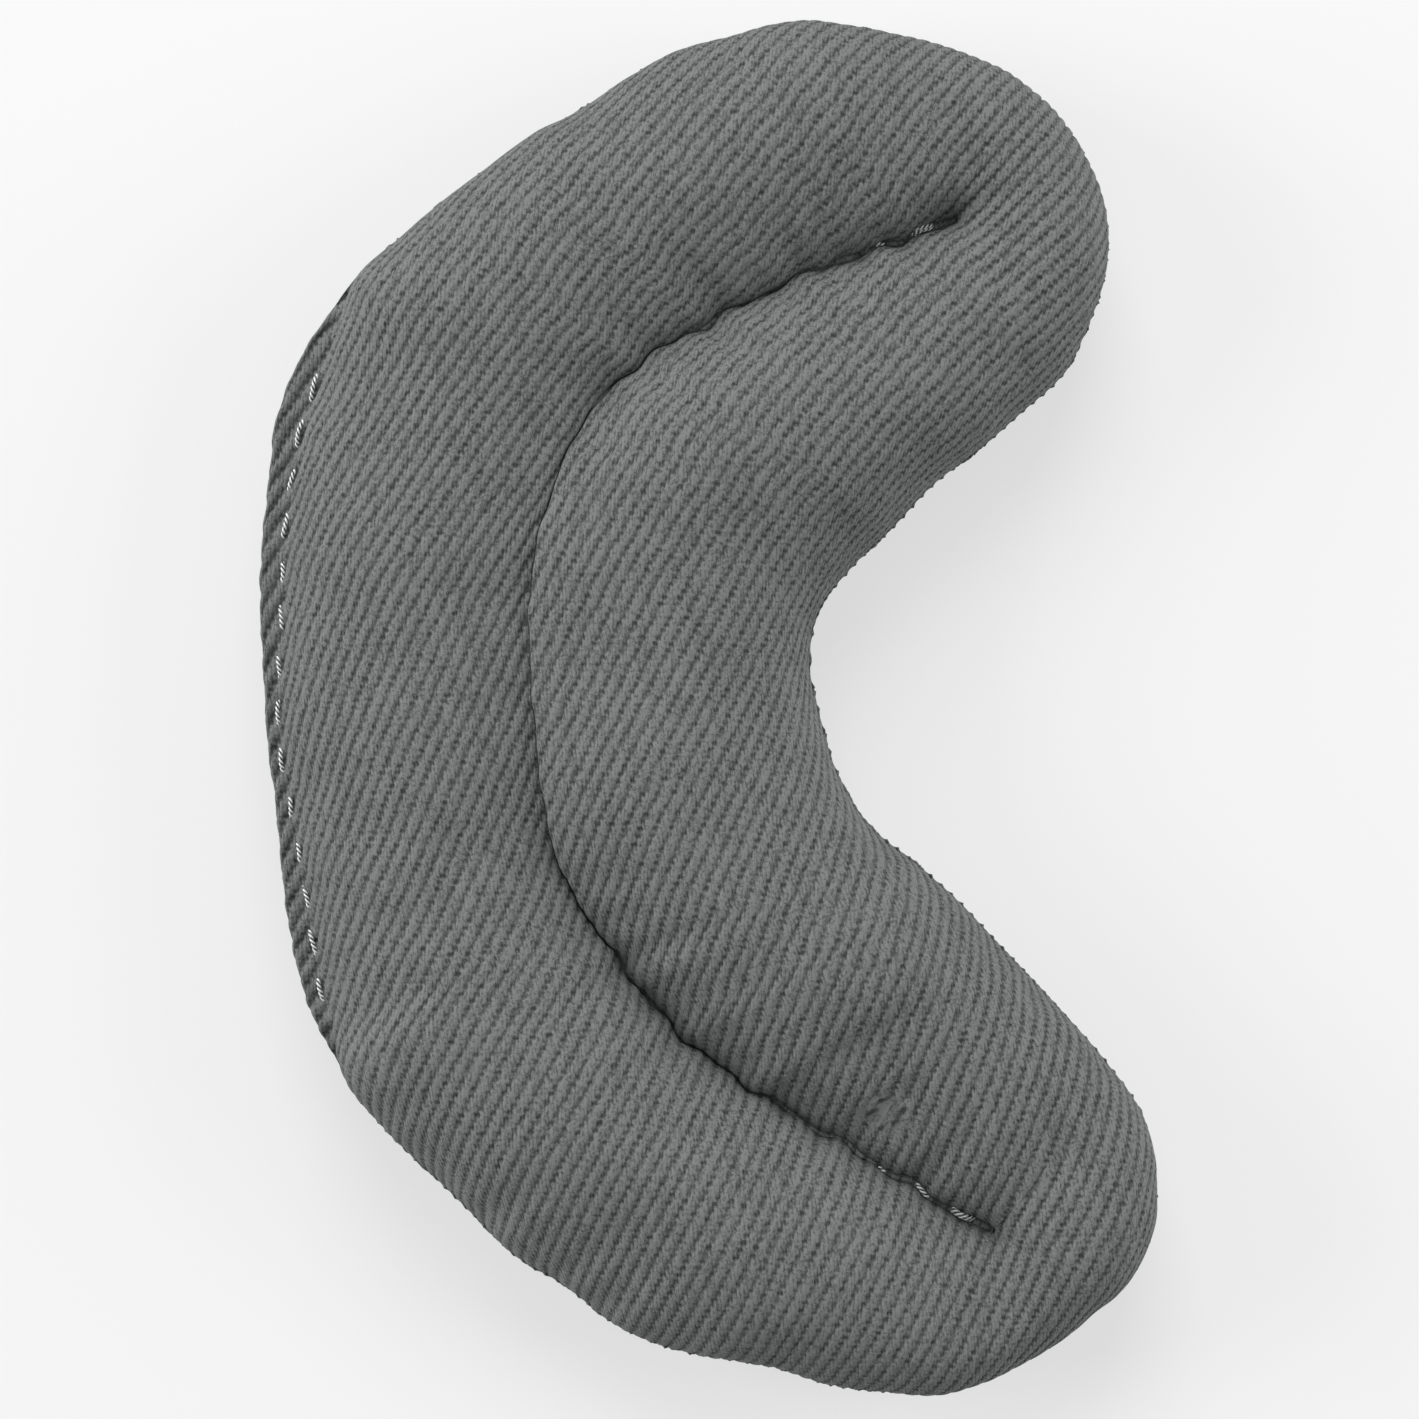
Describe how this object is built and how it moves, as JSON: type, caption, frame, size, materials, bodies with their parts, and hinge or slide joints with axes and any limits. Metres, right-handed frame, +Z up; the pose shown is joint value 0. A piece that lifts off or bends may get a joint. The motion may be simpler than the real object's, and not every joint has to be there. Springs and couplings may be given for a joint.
{
  "type": "crescent pad",
  "caption": "Small crescent-shaped stuffed pad in heavy twill, with a curved quilt seam along its middle and a flat stitched closing lip on its outer edge.",
  "frame": {"origin": "middle of the pad's footprint, on the surface it lies on", "axes": "+Y along the pad's length, +X from the closing lip towards the open side of the crescent, +Z up out of the front cover"},
  "size_m": [0.0786, 0.12, 0.0181],
  "materials": {
    "grey_twill": "heavy three-by-one warp-faced twill, dull grey, not printed",
    "polyester_fibre": "loose white staple fibre",
    "polyester_thread": "three-ply twisted sewing thread, light grey with a slight gloss"
  },
  "bodies": {
    "root": {"front_cover": "grey_twill", "back_cover": "grey_twill", "fibre_fill": "polyester_fibre", "quilt_needle_thread": "polyester_thread", "quilt_bobbin_thread": "polyester_thread", "closing_needle_thread": "polyester_thread", "closing_bobbin_thread": "polyester_thread", "edge_needle_thread": "polyester_thread", "edge_bobbin_thread": "polyester_thread"}
  },
  "joints": []
}
